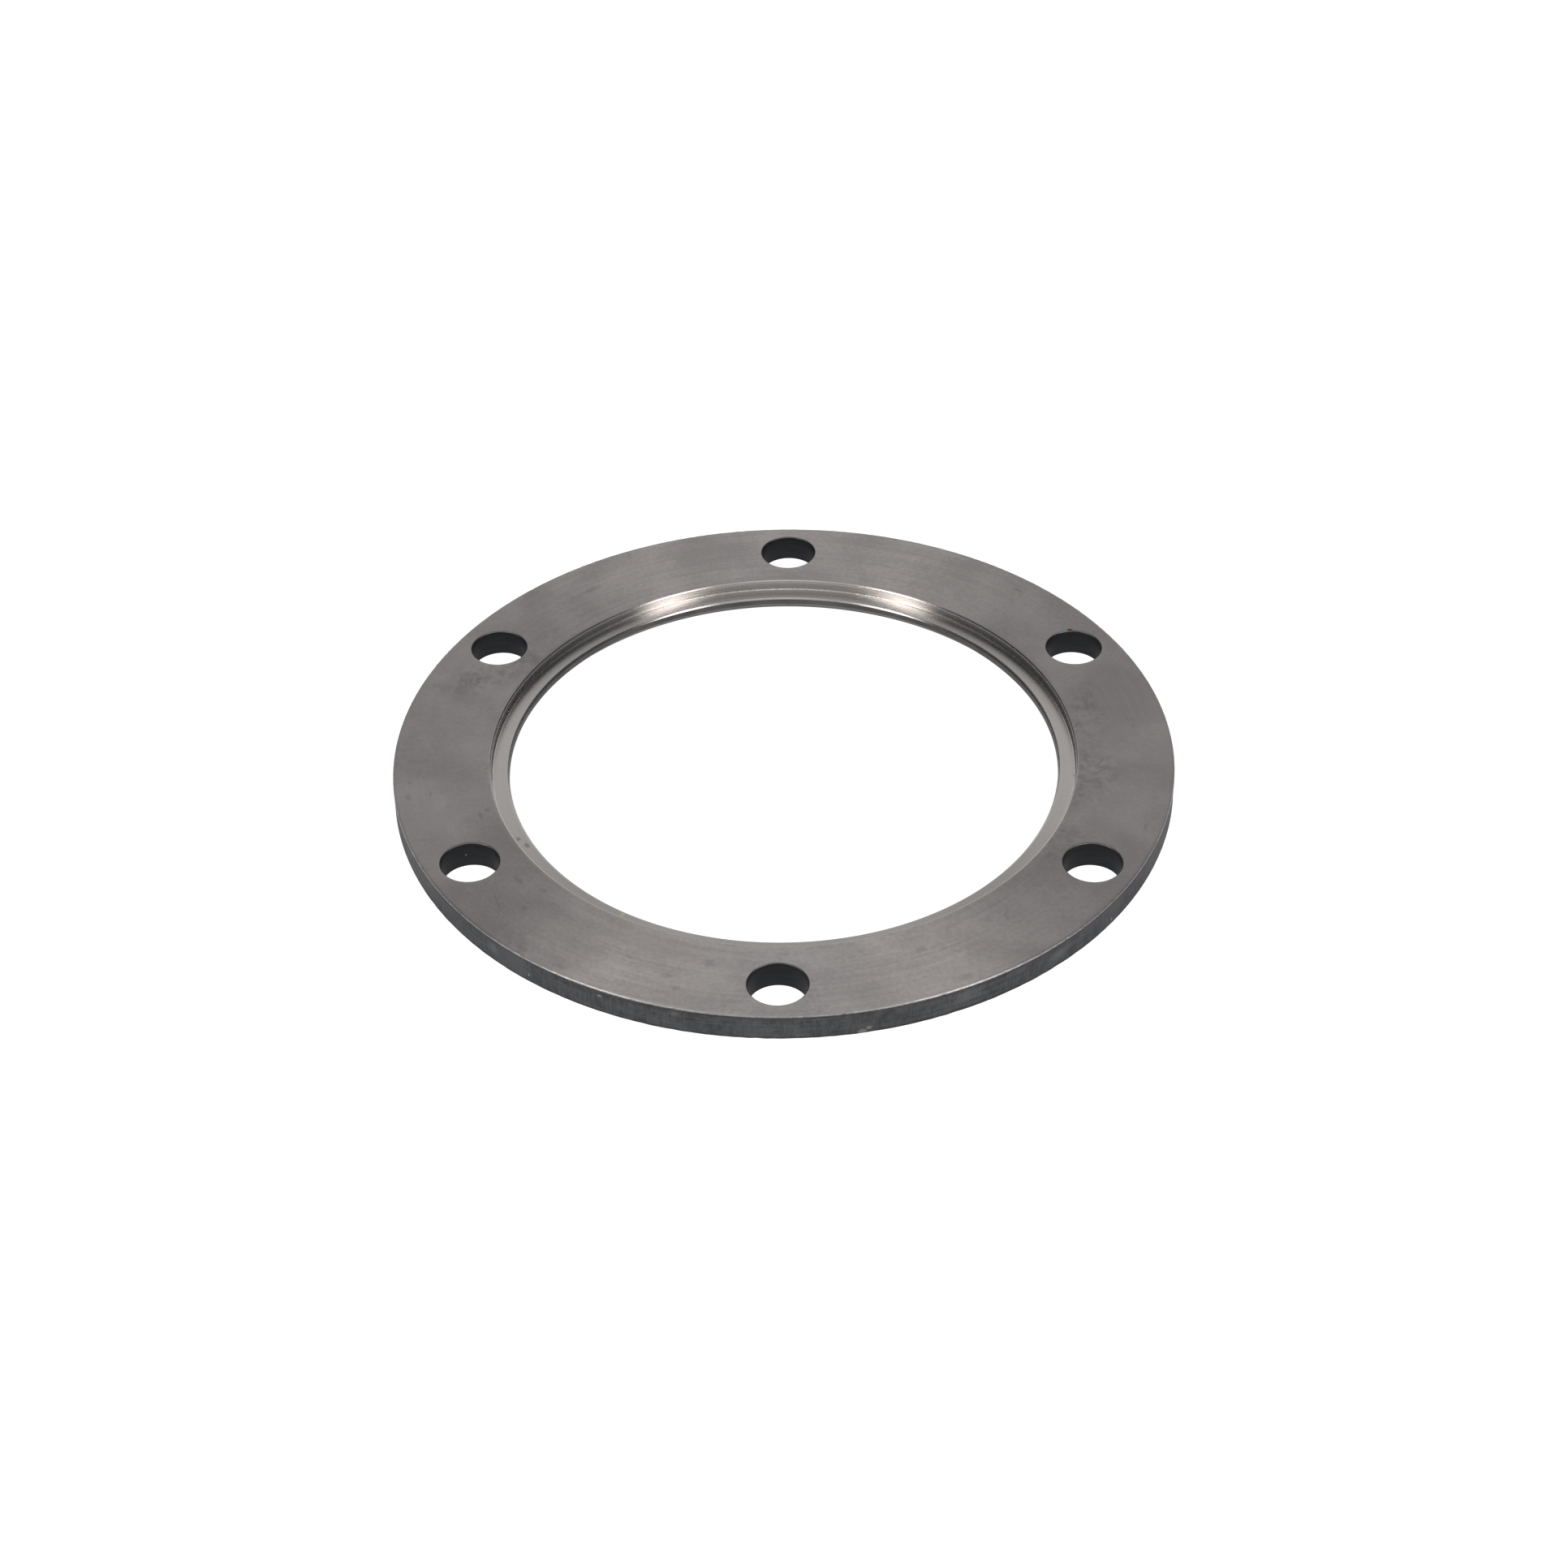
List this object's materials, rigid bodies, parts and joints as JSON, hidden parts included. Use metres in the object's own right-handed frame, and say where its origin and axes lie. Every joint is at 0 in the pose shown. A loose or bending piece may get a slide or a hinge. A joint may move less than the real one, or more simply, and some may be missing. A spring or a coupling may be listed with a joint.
{
  "type": "ring flange",
  "caption": "Flat round steel ring flange with a large stepped bore, a shallow centring recess and equally spaced through bolt holes.",
  "frame": {"origin": "centre of the bore on the back face, the face with the bore chamfer", "axes": "+Z along the bore axis towards the recessed front face; +Y through the centre of one bolt hole"},
  "size_m": [0.22, 0.22, 0.008],
  "materials": {
    "turned_steel": "bare turned steel: fine concentric tool marks on the faces, bright turned bore and shoulder, darker blue-grey rim, near-black hole walls, light scratches and rust specks"
  },
  "bodies": {
    "root": {"flange_ring": "turned_steel"}
  },
  "joints": []
}
